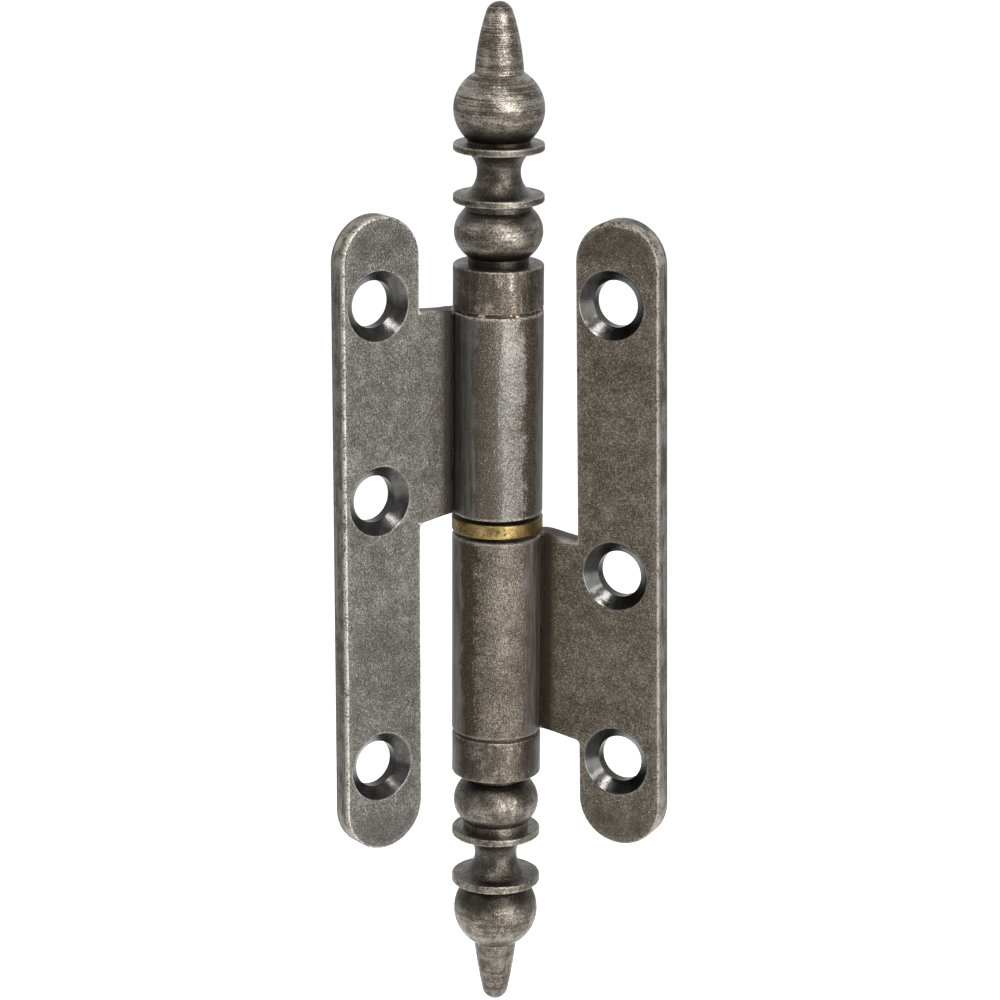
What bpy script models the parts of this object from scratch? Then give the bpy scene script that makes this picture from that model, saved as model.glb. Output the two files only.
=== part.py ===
"""Lift-off furniture hinge with turned finials.

Each leaf is one stamped sheet: a long strip with round ends and a side tab rolled into a knuckle.
The lower leaf carries the pin. The upper leaf drops over the pin, on a loose washer, and lifts off again.
A turned finial closes the outer end of each knuckle.

Units are metres and +Z runs up the pin. The lower leaf's back face lies in the plane y = 0 and faces +Y,
and the origin is the middle of that face. Heights along the barrel are counted from the washer's middle.
"""

from math import acos, asin, atan2, cos, hypot, pi, radians, sin, sqrt, tan

import bmesh
import bpy

COLLECTION = "lift_off_hinge"

# How far the leaves stand open in the stored pose, between their front faces
OPEN_ANGLE = radians(117.6)

# The sheet and the knuckle rolled from it
BARREL_RADIUS = 0.0045
SHEET = 0.0022
BARREL_STEP = 0.00057
KNUCKLE_LENGTH = 0.0206
SEAM_WIDTH = 0.00022
FACET_TURN = radians(24.0)
BACK_BLEND_RADIUS = 0.002
EDGE_ROUND = 0.00022

# The strips, seen square on; each leans a little about its own middle, its free end toward the barrel
STRIP_INSET = 0.00805
STRIP_LAND = 0.001
UPPER_STRIP_LENGTH = 0.0647
LOWER_STRIP_LENGTH = 0.0639
UPPER_STRIP_DROP = 0.00035
LOWER_STRIP_DROP = 0.0007
UPPER_STRIP_LEAN = radians(0.22)
LOWER_STRIP_LEAN = radians(1.1)

# The tabs' edges where they meet the strips: the near ones counted from the washer's middle, the far ones
# from the end of the strip
UPPER_TAB_NEAR = 0.0005
LOWER_TAB_NEAR = 0.0017
UPPER_TAB_INSET = 0.01
LOWER_TAB_INSET = 0.01015
TAB_CORNER_RADIUS = 0.0004

# The countersunk screw holes; the end ones are counted from the strip's ends, the middle one from its
# middle, and a shift outward from its middle line is positive
SCREW_HOLE_RADIUS = 0.0023
COUNTERSINK_RADIUS = 0.00343
COUNTERSINK_ANGLE = radians(90.0)
UPPER_END_HOLE_INSET = 0.00875
LOWER_END_HOLE_INSET = 0.00855
MIDDLE_HOLE_OFFSET = 0.004
UPPER_HOLE_SHIFT = 0.00035
LOWER_HOLE_SHIFT = -0.00035
LOWER_FREE_HOLE_SHIFT = -0.00062
LOWER_HOLE_LIFT = 0.00015

# The pin and the washer
PIN_CLEARANCE = 0.0003
PIN_END_GAP = 0.00168
PIN_TIP_ROUND = 0.001
WASHER_OVERHANG = 0.00005
WASHER_THICKNESS = 0.00144
UPPER_WASHER_GAP = 0.00036
LOWER_WASHER_GAP = 0.00042
WASHER_EDGE_ROUND = 0.00012

# The finials, each turned from one bar; distances run outward from the end of the knuckle
SPIGOT_LENGTH = 0.003
SEAM_GAP = 0.0003
COLLAR_STEP = 0.00002
COLLAR_END = 0.0046
COLLAR_EDGE = 0.00014
COLLAR_FOOT_RADIUS = 0.003
COLLAR_FOOT_LENGTH = 0.0007
UPPER_SMALL_BALL_RADIUS = 0.00437
LOWER_SMALL_BALL_RADIUS = 0.0043
SMALL_BALL_HALF_HEIGHT = 0.00342
DISC_FOOT_RADIUS = 0.0033
DISC_FOOT_LENGTH = 0.00074
DISC_RADIUS = 0.00448
DISC_THICKNESS = 0.00074
DISC_EDGE = 0.00012
NECK_RADIUS = 0.00214
NECK_COVE_DEPTH = 0.001224
NECK_LENGTH = 0.0043
BIG_FOOT_RADIUS = 0.0031
BIG_FOOT_LENGTH = 0.0003
UPPER_BIG_BALL_RADIUS = 0.00446
LOWER_BIG_BALL_RADIUS = 0.00426
BIG_BALL_HALF_HEIGHT = 0.00418
UPPER_TIP_RADIUS = 0.0024
LOWER_TIP_RADIUS = 0.00216
UPPER_TIP_FLANK_RADIUS = 0.0236
LOWER_TIP_FLANK_RADIUS = 0.054
UPPER_TIP_ROUND = 0.00136
LOWER_TIP_ROUND = 0.00131
UPPER_TIP_LENGTH = 0.00688
LOWER_TIP_LENGTH = 0.00644

# Smoothness of the round forms
TURNED_STEPS = 32
HOLE_STEPS = 28
BARREL_ARC_STEPS = 36
BORE_ARC_STEPS = 26
END_ARC_STEPS = 9
SMALL_ARC_STEPS = 3
BALL_STEPS = 9
COVE_STEPS = 6
FLANK_STEPS = 3
DOME_STEPS = 5
SMOOTH_ANGLE = radians(25.0)

# What follows from the sizes above
LEAF_SETBACK = BARREL_RADIUS - BARREL_STEP - SHEET
BORE_RADIUS = BARREL_RADIUS - SHEET
PIN_RADIUS = BORE_RADIUS - PIN_CLEARANCE
WASHER_RADIUS = BARREL_RADIUS + WASHER_OVERHANG
COLLAR_RADIUS = BARREL_RADIUS - COLLAR_STEP
NECK_COVE_RADIUS = ((NECK_LENGTH / 2) ** 2 + NECK_COVE_DEPTH**2) / (2 * NECK_COVE_DEPTH)
UPPER_KNUCKLE_START = WASHER_THICKNESS / 2 + UPPER_WASHER_GAP
LOWER_KNUCKLE_START = WASHER_THICKNESS / 2 + LOWER_WASHER_GAP
UPPER_KNUCKLE_END = UPPER_KNUCKLE_START + KNUCKLE_LENGTH
LOWER_KNUCKLE_END = LOWER_KNUCKLE_START + KNUCKLE_LENGTH
PIN_REACH = UPPER_KNUCKLE_END - SPIGOT_LENGTH - PIN_END_GAP
STRIP_WIDTH = 2 * (COUNTERSINK_RADIUS + STRIP_LAND)
UPPER_TAB_FAR = UPPER_STRIP_LENGTH / 2 - UPPER_STRIP_DROP - UPPER_TAB_INSET
LOWER_TAB_FAR = LOWER_STRIP_LENGTH / 2 + LOWER_STRIP_DROP - LOWER_TAB_INSET
UPPER_END_HOLE_SPACING = UPPER_STRIP_LENGTH / 2 - UPPER_END_HOLE_INSET
LOWER_END_HOLE_SPACING = LOWER_STRIP_LENGTH / 2 - LOWER_END_HOLE_INSET
STRIP_MIDDLE = STRIP_INSET + STRIP_WIDTH / 2
FRONT_Y = LEAF_SETBACK
BACK_Y = LEAF_SETBACK + SHEET
AXIS_PLACE = (-STRIP_MIDDLE, -BACK_Y, LOWER_STRIP_DROP)
SWING_AT_REST = pi - OPEN_ANGLE
CUT_MARGIN = 0.001

COLOURS = {
    "leaf_iron": (0.145, 0.135, 0.118, 1.0),
    "turned_iron": (0.135, 0.122, 0.105, 1.0),
    "pin_steel": (0.30, 0.29, 0.27, 1.0),
    "brass": (0.42, 0.31, 0.12, 1.0),
}


def clear_scene():
    for thing in list(bpy.data.objects):
        bpy.data.objects.remove(thing, do_unlink=True)


def make_collection(name):
    collection = bpy.data.collections.new(name)
    bpy.context.scene.collection.children.link(collection)
    return collection


def make_material(name, roughness, metallic):
    material = bpy.data.materials.new(name)
    material.use_nodes = True
    shader = material.node_tree.nodes["Principled BSDF"]
    shader.inputs["Base Color"].default_value = COLOURS[name]
    shader.inputs["Roughness"].default_value = roughness
    shader.inputs["Metallic"].default_value = metallic
    material.diffuse_color = COLOURS[name]
    return material


def add_object(name, mesh, collection):
    thing = bpy.data.objects.new(name, mesh)
    collection.objects.link(thing)
    return thing


def hide_guide(thing):
    thing.hide_render = True
    thing.display_type = "WIRE"


def smooth_mesh(mesh):
    mesh.shade_smooth()
    mesh.set_sharp_from_angle(angle=SMOOTH_ANGLE)


def arc(centre, radius, start, end, steps):
    """Points on a circle from one angle to the other, both ends included."""
    turn = (end - start) / steps
    return [
        (centre[0] + radius * cos(start + turn * i), centre[1] + radius * sin(start + turn * i))
        for i in range(steps + 1)
    ]


def wrap_angle(angle):
    """The same angle, between minus half a turn and half a turn."""
    return (angle + pi) % (2 * pi) - pi


def round_corners(corners):
    """An outline from (x, y, radius, steps) corners, each drawn as an arc that touches both its sides."""
    outline = []
    for i, (x, y, radius, steps) in enumerate(corners):
        if radius == 0:
            outline.append((x, y))
            continue
        before = corners[i - 1]
        after = corners[(i + 1) % len(corners)]
        to_before = atan2(before[1] - y, before[0] - x)
        to_after = atan2(after[1] - y, after[0] - x)
        opening = wrap_angle(to_after - to_before)
        reach = radius / abs(sin(opening / 2))
        middle = to_before + opening / 2
        centre = (x + reach * cos(middle), y + reach * sin(middle))
        side = pi / 2 if opening > 0 else -pi / 2
        start = to_before - side
        sweep = wrap_angle(to_after + side - start)
        outline += arc(centre, radius, start, start + sweep, steps)
    return drop_repeats(outline)


def drop_repeats(outline):
    """The outline without points that fall on the one before them."""
    kept = []
    for point in outline:
        if not kept or hypot(point[0] - kept[-1][0], point[1] - kept[-1][1]) > 1e-7:
            kept.append(point)
    if hypot(kept[0][0] - kept[-1][0], kept[0][1] - kept[-1][1]) < 1e-7:
        kept.pop()
    return kept


def extrude_outline(name, outline, thickness, collection):
    """A closed mesh object from a flat outline in its XY plane, with its middle at z = 0."""
    curve = bpy.data.curves.new(name, "CURVE")
    curve.dimensions = "2D"
    curve.fill_mode = "BOTH"
    curve.extrude = thickness / 2
    spline = curve.splines.new("POLY")
    spline.points.add(len(outline) - 1)
    for point, (x, y) in zip(spline.points, outline):
        point.co = (x, y, 0, 1)
    spline.use_cyclic_u = True
    flat = add_object(name + "_outline", curve, collection)
    bpy.context.view_layer.update()
    evaluated = flat.evaluated_get(bpy.context.evaluated_depsgraph_get())
    mesh = bpy.data.meshes.new_from_object(evaluated)
    mesh.name = name
    bpy.data.objects.remove(flat, do_unlink=True)
    bpy.data.curves.remove(curve)
    work = bmesh.new()
    work.from_mesh(mesh)
    bmesh.ops.remove_doubles(work, verts=work.verts, dist=1e-7)
    bmesh.ops.recalc_face_normals(work, faces=work.faces)
    work.to_mesh(mesh)
    work.free()
    return add_object(name, mesh, collection)


def turn_profile(name, profile, steps, collection):
    """A turned solid about Z from (radius, height) points that run down its outer side, top to bottom.

    A profile that starts off the axis is a ring's section, and closes on itself.
    """
    mesh = bpy.data.meshes.new(name)
    points = [(radius, 0, height) for radius, height in profile]
    edges = [(i, i + 1) for i in range(len(points) - 1)]
    if profile[0][0] > 0:
        edges.append((len(points) - 1, 0))
    mesh.from_pydata(points, edges, [])
    thing = add_object(name, mesh, collection)
    screw = thing.modifiers.new("Turn", "SCREW")
    screw.axis = "Z"
    screw.angle = 2 * pi
    screw.steps = steps
    screw.render_steps = steps
    screw.use_merge_vertices = True
    screw.merge_threshold = 1e-6
    screw.use_smooth_shade = True
    return thing


def settle_mesh(thing):
    """The object's modified shape becomes its own mesh, shaded smooth between sharp edges."""
    bpy.context.view_layer.update()
    evaluated = thing.evaluated_get(bpy.context.evaluated_depsgraph_get())
    mesh = bpy.data.meshes.new_from_object(evaluated)
    mesh.name = thing.name
    thing.modifiers.clear()
    thing.data = mesh
    smooth_mesh(mesh)


def add_bevel(thing, width, segments):
    bevel = thing.modifiers.new("Worn edges", "BEVEL")
    bevel.limit_method = "ANGLE"
    bevel.angle_limit = radians(50.0)
    bevel.width = width
    bevel.segments = segments


def add_boolean(thing, other, operation):
    cut = thing.modifiers.new(other.name, "BOOLEAN")
    cut.operation = operation
    cut.object = other


def strip_outline(strip_length, strip_height, lean, knuckle, tab):
    """The flat blank in (distance from the pin, height): the strip, and the tab to the knuckle."""
    half_width = STRIP_WIDTH / 2
    half_length = strip_length / 2
    tab_root = BARREL_RADIUS - SHEET / 2

    def on_strip(across, along):
        return (
            STRIP_MIDDLE + across * cos(lean) - along * sin(lean),
            strip_height + across * sin(lean) + along * cos(lean),
        )

    def inner_edge(height):
        along = (height - strip_height + half_width * sin(lean)) / cos(lean)
        return on_strip(-half_width, along)

    end = (half_width, END_ARC_STEPS)
    corner = (TAB_CORNER_RADIUS, SMALL_ARC_STEPS)
    return round_corners([
        (tab_root, -knuckle[1], 0, 0),
        (BARREL_RADIUS, -knuckle[1], 0, 0),
        (*inner_edge(-tab[1]), *corner),
        (*on_strip(-half_width, -half_length), *end),
        (*on_strip(half_width, -half_length), *end),
        (*on_strip(half_width, half_length), *end),
        (*on_strip(-half_width, half_length), *end),
        (*inner_edge(-tab[0]), *corner),
        (BARREL_RADIUS, -knuckle[0], 0, 0),
        (tab_root, -knuckle[0], 0, 0),
    ])


def knuckle_outline():
    """The rolled sheet seen along the pin, with the narrow seam where its free end meets the leaf."""
    seam_corner = sqrt(BARREL_RADIUS**2 - FRONT_Y**2)
    facet_start = asin(FRONT_Y / BARREL_RADIUS) - FACET_TURN
    facet_x = BARREL_RADIUS * cos(facet_start)
    facet_y = BARREL_RADIUS * sin(facet_start)
    free_end_y = FRONT_Y - SEAM_WIDTH
    share = (free_end_y - facet_y) / (FRONT_Y - facet_y)
    free_end_x = facet_x + (seam_corner - facet_x) * share
    blend_x = sqrt((BARREL_RADIUS + BACK_BLEND_RADIUS) ** 2 - (BACK_Y + BACK_BLEND_RADIUS) ** 2)
    blend_y = BACK_Y + BACK_BLEND_RADIUS
    blend_angle = atan2(blend_y, blend_x)
    tab_overlap = BARREL_RADIUS - SHEET / 4
    bore_leaf = asin(FRONT_Y / BORE_RADIUS)
    bore_free = asin(free_end_y / BORE_RADIUS)
    outline = [(free_end_x, free_end_y)]
    outline += arc((0, 0), BARREL_RADIUS, facet_start, blend_angle - 2 * pi, BARREL_ARC_STEPS)
    outline += arc((blend_x, blend_y), BACK_BLEND_RADIUS, pi + blend_angle, 1.5 * pi, SMALL_ARC_STEPS)
    outline += [(tab_overlap, BACK_Y), (tab_overlap, FRONT_Y)]
    outline += arc((0, 0), BORE_RADIUS, bore_leaf, bore_free + 2 * pi, BORE_ARC_STEPS)
    return drop_repeats(outline)


def hole_cutter(name, places, collection):
    """Countersunk screw holes as one cutter: turned about the leaf's normal, wide at the front face."""
    depth = (COUNTERSINK_RADIUS - SCREW_HOLE_RADIUS) / tan(COUNTERSINK_ANGLE / 2)
    profile = [
        (0, CUT_MARGIN),
        (COUNTERSINK_RADIUS, CUT_MARGIN),
        (COUNTERSINK_RADIUS, 0),
        (SCREW_HOLE_RADIUS, -depth),
        (SCREW_HOLE_RADIUS, -SHEET - CUT_MARGIN),
        (0, -SHEET - CUT_MARGIN),
    ]
    one = turn_profile(name, profile, HOLE_STEPS, collection)
    settle_mesh(one)
    work = bmesh.new()
    for distance, height in places:
        copy = bmesh.new()
        copy.from_mesh(one.data)
        for vertex in copy.verts:
            x, y, z = vertex.co
            vertex.co = (distance + x, FRONT_Y - z, height + y)
        placed = bpy.data.meshes.new(name + "_place")
        copy.to_mesh(placed)
        copy.free()
        work.from_mesh(placed)
        bpy.data.meshes.remove(placed)
    work.to_mesh(one.data)
    work.free()
    hide_guide(one)
    return one


def hole_places(strip_height, lean, spacing, lift, shifts):
    """The three holes' (distance from the pin, height), from the finial's end to the free end."""
    places = []
    for along, shift in zip((lift - spacing, lift - MIDDLE_HOLE_OFFSET, lift + spacing), shifts):
        distance = STRIP_MIDDLE + shift * cos(lean) - along * sin(lean)
        places.append((distance, strip_height + shift * sin(lean) + along * cos(lean)))
    return places


def make_leaf(name, outline, knuckle_span, holes, material, parts, cutters):
    """One leaf as the lower one lies: strip on the +X side, front facing -Y, knuckle below the washer."""
    leaf = extrude_outline(name, outline, SHEET, parts)
    stand_up(leaf.data, (FRONT_Y + BACK_Y) / 2)
    smooth_mesh(leaf.data)
    add_bevel(leaf, EDGE_ROUND, 2)

    knuckle = extrude_outline(name + "_knuckle", knuckle_outline(), KNUCKLE_LENGTH, cutters)
    for vertex in knuckle.data.vertices:
        vertex.co.z -= sum(knuckle_span) / 2
    smooth_mesh(knuckle.data)
    add_bevel(knuckle, EDGE_ROUND, 2)
    hide_guide(knuckle)
    add_boolean(leaf, knuckle, "UNION")

    cutter = hole_cutter(name + "_holes", holes, cutters)
    add_boolean(leaf, cutter, "DIFFERENCE")
    leaf.data.materials.append(material)
    return [leaf, knuckle, cutter]


def make_lower_leaf(material, parts, cutters):
    span = (LOWER_KNUCKLE_START, LOWER_KNUCKLE_END)
    height = -LOWER_STRIP_DROP
    outline = strip_outline(
        LOWER_STRIP_LENGTH, height, LOWER_STRIP_LEAN, span, (LOWER_TAB_NEAR, LOWER_TAB_FAR)
    )
    shifts = (LOWER_HOLE_SHIFT, LOWER_HOLE_SHIFT, LOWER_FREE_HOLE_SHIFT)
    holes = hole_places(height, LOWER_STRIP_LEAN, LOWER_END_HOLE_SPACING, LOWER_HOLE_LIFT, shifts)
    return make_leaf("lower_leaf", outline, span, holes, material, parts, cutters)


def make_upper_leaf(material, parts, cutters):
    """The same blank turned over end for end, so that its knuckle stands above the washer."""
    span = (UPPER_KNUCKLE_START, UPPER_KNUCKLE_END)
    height = UPPER_STRIP_DROP
    outline = strip_outline(
        UPPER_STRIP_LENGTH, height, UPPER_STRIP_LEAN, span, (UPPER_TAB_NEAR, UPPER_TAB_FAR)
    )
    shifts = (UPPER_HOLE_SHIFT, UPPER_HOLE_SHIFT, UPPER_HOLE_SHIFT)
    holes = hole_places(height, UPPER_STRIP_LEAN, UPPER_END_HOLE_SPACING, 0, shifts)
    pieces = make_leaf("upper_leaf", outline, span, holes, material, parts, cutters)
    for piece in pieces:
        piece.rotation_euler = (0, pi, 0)
    return pieces


def stand_up(mesh, middle_y):
    """Turns a flat blank drawn in (x, height) so that its height runs up Z and its thickness along Y."""
    for vertex in mesh.vertices:
        x, y, z = vertex.co
        vertex.co = (x, middle_y - z, y)


def finial_profile(small_ball_radius, big_ball_radius, tip):
    """(radius, height) from the spigot's inner end out to the tip, counted from the end of the knuckle."""
    profile = [
        (0, -SPIGOT_LENGTH),
        (PIN_RADIUS, -SPIGOT_LENGTH),
        (PIN_RADIUS, SEAM_GAP),
    ]
    profile += rim(COLLAR_RADIUS, SEAM_GAP, COLLAR_END, COLLAR_EDGE)
    profile.append((COLLAR_FOOT_RADIUS, COLLAR_END))
    profile += ball(
        small_ball_radius, SMALL_BALL_HALF_HEIGHT, COLLAR_END + COLLAR_FOOT_LENGTH,
        COLLAR_FOOT_RADIUS, DISC_FOOT_RADIUS,
    )
    inner_disc = profile[-1][1] + DISC_FOOT_LENGTH
    outer_disc = inner_disc + DISC_THICKNESS + NECK_LENGTH
    profile.append((DISC_FOOT_RADIUS, inner_disc))
    profile += rim(DISC_RADIUS, inner_disc, inner_disc + DISC_THICKNESS, DISC_EDGE)
    profile += neck(inner_disc + DISC_THICKNESS)
    profile += rim(DISC_RADIUS, outer_disc, outer_disc + DISC_THICKNESS, DISC_EDGE)
    profile.append((BIG_FOOT_RADIUS, outer_disc + DISC_THICKNESS))
    profile += ball(
        big_ball_radius, BIG_BALL_HALF_HEIGHT, outer_disc + DISC_THICKNESS + BIG_FOOT_LENGTH,
        BIG_FOOT_RADIUS, tip[0],
    )
    return profile + pointed_tip(profile[-1][1], *tip)


def ball(radius, half_height, start, start_radius, end_radius):
    """A turned bulge that is start_radius wide at the height start and ends end_radius wide."""
    first = -asin(sqrt(1 - (start_radius / radius) ** 2))
    last = asin(sqrt(1 - (end_radius / radius) ** 2))
    middle = start - half_height * sin(first)
    turn = (last - first) / BALL_STEPS
    return [
        (radius * cos(first + turn * i), middle + half_height * sin(first + turn * i))
        for i in range(BALL_STEPS + 1)
    ]


def rim(radius, low, high, edge):
    """The outside of a disc or collar, with its two edges broken."""
    return [(radius - edge, low), (radius, low + edge), (radius, high - edge), (radius - edge, high)]


def neck(start):
    """The hollow between the two discs, an arc that is narrowest half way."""
    half = asin(NECK_LENGTH / 2 / NECK_COVE_RADIUS)
    centre = (NECK_RADIUS + NECK_COVE_RADIUS, start + NECK_LENGTH / 2)
    return arc(centre, NECK_COVE_RADIUS, pi + half, pi - half, COVE_STEPS)


def pointed_tip(base, radius, flank_radius, end_round, length):
    """The tip beyond its base circle: a bowed flank that runs on, without a corner, into a round end."""
    end_centre = (0, base + length - end_round)
    chord = hypot(radius, end_centre[1] - base)
    along = (flank_radius**2 - (flank_radius - end_round) ** 2 + chord**2) / (2 * chord)
    rise = acos(along / flank_radius)
    toward_end = atan2(end_centre[1] - base, -radius)
    flank_angle = toward_end + rise
    flank_centre = (radius + flank_radius * cos(flank_angle), base + flank_radius * sin(flank_angle))
    meeting = atan2(end_centre[1] - flank_centre[1], -flank_centre[0])
    flank = arc(flank_centre, flank_radius, flank_angle - pi, meeting, FLANK_STEPS)
    end = arc(end_centre, end_round, meeting, pi / 2, DOME_STEPS)
    return [*flank[1:], *end[1:-1], (0, base + length)]


def make_finial(name, profile, knuckle_end, outward, material, parts):
    """A finial on the upper knuckle (outward = 1) or the lower one (outward = -1)."""
    placed = [(radius, outward * (knuckle_end + height)) for radius, height in profile]
    if outward > 0:
        placed.reverse()
    finial = turn_profile(name, placed, TURNED_STEPS, parts)
    settle_mesh(finial)
    finial.data.materials.append(material)
    return finial


def make_upper_finial(material, parts):
    tip = (UPPER_TIP_RADIUS, UPPER_TIP_FLANK_RADIUS, UPPER_TIP_ROUND, UPPER_TIP_LENGTH)
    profile = finial_profile(UPPER_SMALL_BALL_RADIUS, UPPER_BIG_BALL_RADIUS, tip)
    return make_finial("upper_finial", profile, UPPER_KNUCKLE_END, 1, material, parts)


def make_lower_finial(material, parts):
    tip = (LOWER_TIP_RADIUS, LOWER_TIP_FLANK_RADIUS, LOWER_TIP_ROUND, LOWER_TIP_LENGTH)
    profile = finial_profile(LOWER_SMALL_BALL_RADIUS, LOWER_BIG_BALL_RADIUS, tip)
    return make_finial("lower_finial", profile, LOWER_KNUCKLE_END, -1, material, parts)


def make_pin(material, parts):
    """The fixed pin, from just above the lower finial's spigot to its rounded top in the upper knuckle."""
    foot = -LOWER_KNUCKLE_END + SPIGOT_LENGTH + PIN_CLEARANCE
    tip = arc((PIN_RADIUS - PIN_TIP_ROUND, PIN_REACH - PIN_TIP_ROUND), PIN_TIP_ROUND, pi / 2, 0, DOME_STEPS)
    pin = turn_profile("pin", [(0, PIN_REACH), *tip, (PIN_RADIUS, foot), (0, foot)], TURNED_STEPS, parts)
    settle_mesh(pin)
    pin.data.materials.append(material)
    return pin


def make_washer(material, parts):
    """The loose washer between the knuckles, a ring with a slightly softened outer edge."""
    half = WASHER_THICKNESS / 2
    section = [
        (BORE_RADIUS, half),
        *reversed(rim(WASHER_RADIUS, -half, half, WASHER_EDGE_ROUND)),
        (BORE_RADIUS, -half),
    ]
    washer = turn_profile("washer", section, TURNED_STEPS, parts)
    settle_mesh(washer)
    washer.data.materials.append(material)
    return washer


def add_empty(name, parent, parts):
    empty = bpy.data.objects.new(name, None)
    empty.empty_display_size = BARREL_RADIUS
    parts.objects.link(empty)
    empty.parent = parent
    return empty


def build_hinge():
    clear_scene()
    parts = make_collection(COLLECTION)
    cutters = make_collection("cutters")
    leaf_iron = make_material("leaf_iron", 0.5, 0.6)
    turned_iron = make_material("turned_iron", 0.42, 0.7)
    pin_steel = make_material("pin_steel", 0.35, 1.0)
    brass = make_material("brass", 0.4, 1.0)

    frame_axis = add_empty("frame_axis", None, parts)
    frame_axis.location = AXIS_PLACE
    door_axis = add_empty("door_axis", frame_axis, parts)
    door_axis.rotation_euler = (0, 0, SWING_AT_REST)
    washer_axis = add_empty("washer_axis", frame_axis, parts)

    lower = make_lower_leaf(leaf_iron, parts, cutters)
    upper = make_upper_leaf(leaf_iron, parts, cutters)
    for piece in [*lower, make_lower_finial(turned_iron, parts), make_pin(pin_steel, parts)]:
        piece.parent = frame_axis
    for piece in [*upper, make_upper_finial(turned_iron, parts)]:
        piece.parent = door_axis
    make_washer(brass, parts).parent = washer_axis


build_hinge()
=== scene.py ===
"""Looks for the lift-off hinge with turned finials: finer pieces in antiqued iron, drawn rod and brass."""

from math import acos, asin, atan2, cos, hypot, pi, radians, sin, sqrt

import bmesh
import bpy
from mathutils import Matrix, noise, Vector


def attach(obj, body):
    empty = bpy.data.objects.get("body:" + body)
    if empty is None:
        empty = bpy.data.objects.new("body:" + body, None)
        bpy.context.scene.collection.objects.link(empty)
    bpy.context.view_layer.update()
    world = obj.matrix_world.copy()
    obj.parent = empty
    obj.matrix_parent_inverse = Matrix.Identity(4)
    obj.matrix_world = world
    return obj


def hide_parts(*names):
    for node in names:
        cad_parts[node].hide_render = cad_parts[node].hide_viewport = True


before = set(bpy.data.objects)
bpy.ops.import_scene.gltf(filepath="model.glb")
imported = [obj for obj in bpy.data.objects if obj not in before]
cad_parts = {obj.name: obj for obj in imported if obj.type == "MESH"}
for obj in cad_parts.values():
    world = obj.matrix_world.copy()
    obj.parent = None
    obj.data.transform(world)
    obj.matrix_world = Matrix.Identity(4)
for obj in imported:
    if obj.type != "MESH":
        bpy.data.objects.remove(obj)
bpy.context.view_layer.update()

# The hinge's own sizes, in metres, as the solids have them; only the tab's corners are rounder here
OPEN_ANGLE = radians(117.6)
SWING = pi - OPEN_ANGLE
BARREL_RADIUS = 0.0045
SHEET = 0.0022
FRONT_Y = 0.00173
BACK_Y = FRONT_Y + SHEET
MIDDLE_Y = (FRONT_Y + BACK_Y) / 2
BORE_RADIUS = BARREL_RADIUS - SHEET
UPPER_SPAN = (0.00108, 0.02168)
LOWER_SPAN = (0.00114, 0.02174)
SEAM_WIDTH = 0.00022
FACET_TURN = radians(24.0)
BACK_BLEND_RADIUS = 0.002

STRIP_MIDDLE = 0.01248
HALF_WIDTH = 0.00443
LOWER_STRIP_DROP = 0.0007
TAB_CORNER_RADIUS = 0.0005
AXIS_PLACE = Vector((-STRIP_MIDDLE, -BACK_Y, LOWER_STRIP_DROP))

HOLE_RADIUS = 0.0023
COUNTERSINK_RADIUS = 0.00343
MIDDLE_HOLE_OFFSET = 0.004

PIN_CLEARANCE = 0.0003
PIN_RADIUS = BORE_RADIUS - PIN_CLEARANCE
PIN_TOP = 0.017
PIN_BOTTOM = -0.01844
PIN_TIP_ROUND = 0.001
WASHER_RADIUS = 0.00455
WASHER_HALF = 0.00072

SEAM_GAP = 0.0003
SPIGOT_LENGTH = 0.003
COLLAR_RADIUS = 0.00448
COLLAR_END = 0.0046
COLLAR_FOOT_RADIUS = 0.003
COLLAR_FOOT_END = COLLAR_END + 0.0007
SMALL_BALL_HALF_HEIGHT = 0.00342
DISC_FOOT_RADIUS = 0.0033
DISC_FOOT_LENGTH = 0.00074
DISC_RADIUS = 0.00448
DISC_THICKNESS = 0.00074
NECK_LENGTH = 0.0043
NECK_RADIUS = 0.00214
COVE_RADIUS = 0.0025
BIG_FOOT_RADIUS = 0.0031
BIG_FOOT_LENGTH = 0.0003
BIG_BALL_HALF_HEIGHT = 0.00418

HINGE_MIDDLE = Vector((-0.01, -0.005, 0))

# How far edges are rolled over, and how far cutters reach past what they cut
PLATE_ROLL = 0.0002
BACK_ROLL_SHARE = 0.6
COUNTERSINK_ROLL = 0.00012
COLLAR_ROLL = 0.0002
DISC_ROLL = 0.00016
WASHER_ROLL = 0.00016
CUT_MARGIN = 0.001


class Leaf:
    """The sizes of one leaf, seen as the lower leaf lies: strip on the +X side and knuckle below z = 0.

    span and tab say where the knuckle and the tab start and end below z = 0. hole_spacing is from the
    strip's middle to each end hole, and hole_shifts are the holes' places across the strip.
    """

    def __init__(self, name, length, height, lean, span, tab, hole_spacing, hole_lift, hole_shifts):
        self.name = name
        self.half_length = length / 2
        self.height = height
        self.lean = lean
        self.span = span
        self.tab = tab
        self.holes = []
        alongs = (hole_lift - hole_spacing, hole_lift - MIDDLE_HOLE_OFFSET, hole_lift + hole_spacing)
        for along, shift in zip(alongs, hole_shifts):
            self.holes.append(self.on_strip(shift, along))

    def on_strip(self, across, along):
        return (
            STRIP_MIDDLE + across * cos(self.lean) - along * sin(self.lean),
            self.height + across * sin(self.lean) + along * cos(self.lean),
        )

    def inner_edge(self, height):
        along = (height - self.height + HALF_WIDTH * sin(self.lean)) / cos(self.lean)
        return self.on_strip(-HALF_WIDTH, along)


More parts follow.
